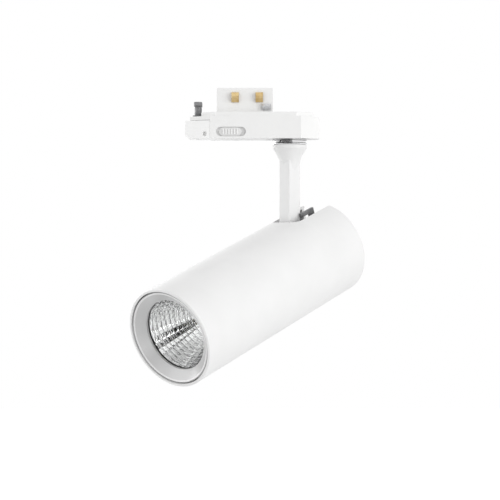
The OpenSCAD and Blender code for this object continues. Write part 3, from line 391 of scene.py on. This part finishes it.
def pillow_point(row, column):
    """A point of the mirror: on the flat facet, raised towards the axis in the facet's middle."""
    ring, strip = min(row // CELLS, RINGS - 1), column // CELLS
    along, round_ = row / CELLS - ring, column / CELLS - strip
    a, b = corner(ring, strip), corner(ring, strip + 1)
    c, d = corner(ring + 1, strip), corner(ring + 1, strip + 1)
    inward = (c - a).cross(b - a).normalized()
    if inward.dot(Vector((a.x, a.y, 0))) > 0:
        inward = -inward
    flat = a.lerp(b, round_).lerp(c.lerp(d, round_), along)
    return flat + inward * BULGE * (1 - (2 * along - 1)**FLATNESS)


def lathe_row(radius, z, count):
    turns = (2 * math.pi * i / count for i in range(count))
    return [Vector((radius * math.cos(turn), radius * math.sin(turn), z)) for turn in turns]


columns = STRIPS * CELLS
rows = [
    [pillow_point(row, column) for column in range(columns)] for row in range(RINGS * CELLS + 1)
]
facet_rows = len(rows)
for ring in range(RINGS, 0, -1):
    share = ring / RINGS
    rows.append(lathe_row(paraboloid(share) + SHELL, FRONT_Z + DEPTH * share, columns))
rows.append(lathe_row(paraboloid(FLANGE_T / DEPTH) + SHELL, FRONT_Z + FLANGE_T, columns))
rows.append(lathe_row(FLANGE, FRONT_Z + FLANGE_T, columns))
rows.append(lathe_row(FLANGE, FRONT_Z, columns))

mesh = bpy.data.meshes.new("reflector_mirror")
mesh.from_pydata(
    [HEAD @ point for row in rows for point in row], [],
    [
        (
            row * columns + column, row * columns + (column + 1) % columns,
            (row + 1) % len(rows) * columns + (column + 1) % columns,
            (row + 1) % len(rows) * columns + column,
        )
        for row in range(len(rows)) for column in range(columns)
    ],
)
for face in mesh.polygons:
    face.use_smooth = True
for edge in mesh.edges:
    (row_a, column_a), (row_b, column_b) = (divmod(i, columns) for i in edge.vertices)
    if max(row_a, row_b) < facet_rows:
        edge.use_edge_sharp = row_a == row_b and row_a % CELLS == 0 or (
            column_a == column_b and column_a % CELLS == 0
        )
    else:
        edge.use_edge_sharp = row_a == row_b and row_a >= len(rows) - FLANGE_EDGES
mirror_shell = bpy.data.objects.new("reflector_mirror", mesh)
bpy.context.scene.collection.objects.link(mirror_shell)

mirror, wire, shader = finish("bright_mirror", Metallic=1.0)
haze = spread(wire, noise(wire, 220, 4), 0.35, 0.75)
join(wire, shader, {
    "Base Color": between(wire, haze, (0.96, 0.96, 0.962), (0.985, 0.985, 0.986)),
    "Roughness": 0.01 + 0.025 * haze,
})
mesh.materials.append(mirror)
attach(mirror_shell, "head")
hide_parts("reflector")


# Light engine
# A white ceramic board with a round field of yellow phosphor gel. A moulded plastic holder presses
# it on the heat sink.

dress(moulding("holder_plastic", (0.83, 0.83, 0.82), (0.87, 0.87, 0.86), 0.45), "emitter_holder")
dress(moulding("ceramic_board", (0.86, 0.85, 0.82), (0.91, 0.90, 0.87), 0.5, 0.15), "emitter_board")
dress(moulding("phosphor_gel", (0.88, 0.72, 0.20), (0.95, 0.83, 0.34), 0.22, 0.1), "emitter_disc")


# Heat sink
# Extruded aluminium with fins all round, sawn to length and left bare, so that the lines of the die
# show along the head. It stands in the tube behind the light engine.

STRETCH = 0.97
bare, wire, shader = finish("bare_aluminium", Metallic=1.0)
across = wire.node(
    "ShaderNodeVectorMath", {"operation": "SUBTRACT"},
    {
        0: place(wire),
        1: wire.node(
            "ShaderNodeVectorMath", {"operation": "SCALE"},
            {0: HEAD_AXIS, "Scale": STRETCH * along_head(wire)},
        ),
    },
)
drawn = wire.node("ShaderNodeTexNoise", {}, {"Vector": across, "Scale": 2200.0, "Detail": 3.0})
patches = spread(wire, noise(wire, 90, 4), 0.3, 0.7)
join(wire, shader, {
    "Base Color": between(wire, patches, (0.68, 0.68, 0.69), (0.78, 0.78, 0.79)),
    "Roughness": 0.3 + 0.18 * drawn,
    "Normal": bump(wire, drawn, 0.00003, 0.3),
})
dress(bare, "heat_sink")


# Stage: camera, floor and light
# A level camera at the photographed angle, a white floor far below, a soft box at each side, and
# dark and bright cards out of sight, which only gloss mirrors.

scene = bpy.context.scene
scene.view_settings.view_transform = "Standard"

eye = bpy.data.objects.new("eye", bpy.data.cameras.new("eye"))
scene.collection.objects.link(eye)
eye.location = (-0.03275, -1.4695, -0.1134)
eye.rotation_euler = (math.pi / 2, 0, 0)
eye.data.lens = 128.2
eye.data.sensor_width = 36
eye.data.clip_end = 60
scene.camera = eye


def seen_directly(wire):
    """1 for rays from the camera, a mirror or glass, which see the plain white background."""
    camera, mirrored, through = (
        wire.node("ShaderNodeLightPath", out=name)
        for name in ("Is Camera Ray", "Is Glossy Ray", "Is Transmission Ray")
    )
    return wire.sum("MAXIMUM", wire.sum("MAXIMUM", camera, mirrored), through)


ROOM = 0.86
world = bpy.data.worlds.new("studio")
world.use_nodes = True
scene.world = world
wire = Wire(world.node_tree)
background = world.node_tree.nodes["Background"]
background.inputs["Color"].default_value = (1, 1, 1, 1)
join(wire, background, {"Strength": ROOM + (1 - ROOM) * seen_directly(wire)})


def card(name, corners, material):
    mesh = bpy.data.meshes.new(name)
    mesh.from_pydata(corners, [], [tuple(range(len(corners)))])
    mesh.materials.append(material)
    made = bpy.data.objects.new(name, mesh)
    scene.collection.objects.link(made)
    return made


def level_corners(x0, x1, y0, y1, z):
    return [(x0, y0, z), (x1, y0, z), (x1, y1, z), (x0, y1, z)]


def upright_corners(start, end, low, high):
    return [(*start, low), (*end, low), (*end, high), (*start, high)]


FLOOR, FAR, GLOW = -1.5, 14, (0.5, 0.5, 0.5)
pale, wire, shader = finish(
    "white_floor", Roughness=0.9, Base_Color=(0.7, 0.7, 0.7, 1), Emission_Strength=1.0
)
join(wire, shader, {"Emission Color": between(wire, seen_directly(wire), (0, 0, 0), GLOW)})
card("floor", level_corners(-FAR, FAR, -FAR, FAR, FLOOR), pale)


def shade(name, level):
    """A card's material: one even level, whatever light falls on it."""
    return finish(
        name, Base_Color=(0, 0, 0, 1), Specular_IOR_Level=0.0,
        Emission_Color=(level, level, level, 1), Emission_Strength=1.0,
    )[0]


LOW, STEP = -0.6, 0.01
LEFT_SIDE = (-1.3, -0.86), (-1.3, 0.21)
HIGH_CARD = [(-1.3, -0.7, 0.3), (-1.3, 0.7, 0.3), (-1.1, 0.7, 1.0), (-1.1, -0.7, 1.0)]
BAND_CARD = (
    (-0.47, -0.01), (-1.3, 0.21), (-1.3, -0.86), (-0.455, -0.335), (-0.368, -0.435),
    (-0.32, -0.378), (-0.392, -0.295),
)
dark = shade("dark_shade", 0.06)
for name, corners, material in (
    ("room_card", upright_corners((-2.3, -1.3), (0.8, -2.5), -0.1, 0.15), dark),
    ("high_card", HIGH_CARD, shade("high_shade", 1.4)),
    ("chrome_card", upright_corners((-1.3, -0.7), (-1.3, 0.3), -0.06, 0.1), dark),
    ("left_card", upright_corners(*LEFT_SIDE, -0.62, -0.42), shade("left_shade", 0.01)),
    ("dim_card", upright_corners(*LEFT_SIDE, -0.42, -0.24), shade("dim_shade", 0.4)),
    ("back_card", upright_corners((-1.4, 0.5), (-0.5, 1.5), 0.0, 1.1), shade("back_shade", 3.4)),
    ("right_card", level_corners(-0.2, 0.9, -2.2, 0.2, LOW + 2 * STEP), shade("right_shade", 0.68)),
    ("near_card", level_corners(-0.9, 0.8, -0.76, 0.2, LOW), shade("near_shade", 1.25)),
    ("far_card", level_corners(-0.9, 0.9, -2.2, -0.76, LOW), shade("far_shade", 1.25)),
    ("band_card", [(x, y, LOW + STEP) for x, y in BAND_CARD], shade("band_shade", 0.01)),
):
    made = card(name, corners, material)
    made.visible_camera = made.visible_diffuse = made.visible_shadow = False


def soft_box(name, spot, aim, size, watts):
    lamp = bpy.data.objects.new(name, bpy.data.lights.new(name, "AREA"))
    lamp.data.shape = "SQUARE"
    lamp.data.size = size
    lamp.data.energy = watts
    lamp.location = spot
    lamp.rotation_euler = (Vector(aim) - Vector(spot)).to_track_quat("-Z", "Y").to_euler()
    lamp.visible_glossy = False
    scene.collection.objects.link(lamp)


MIDDLE = (-0.03, 0, -0.11)
soft_box("right_box", (1.55, -1.05, -0.1), MIDDLE, 1.2, 13.5)
soft_box("left_box", (-1.85, 0.15, 0.0), MIDDLE, 1.2, 11.5)
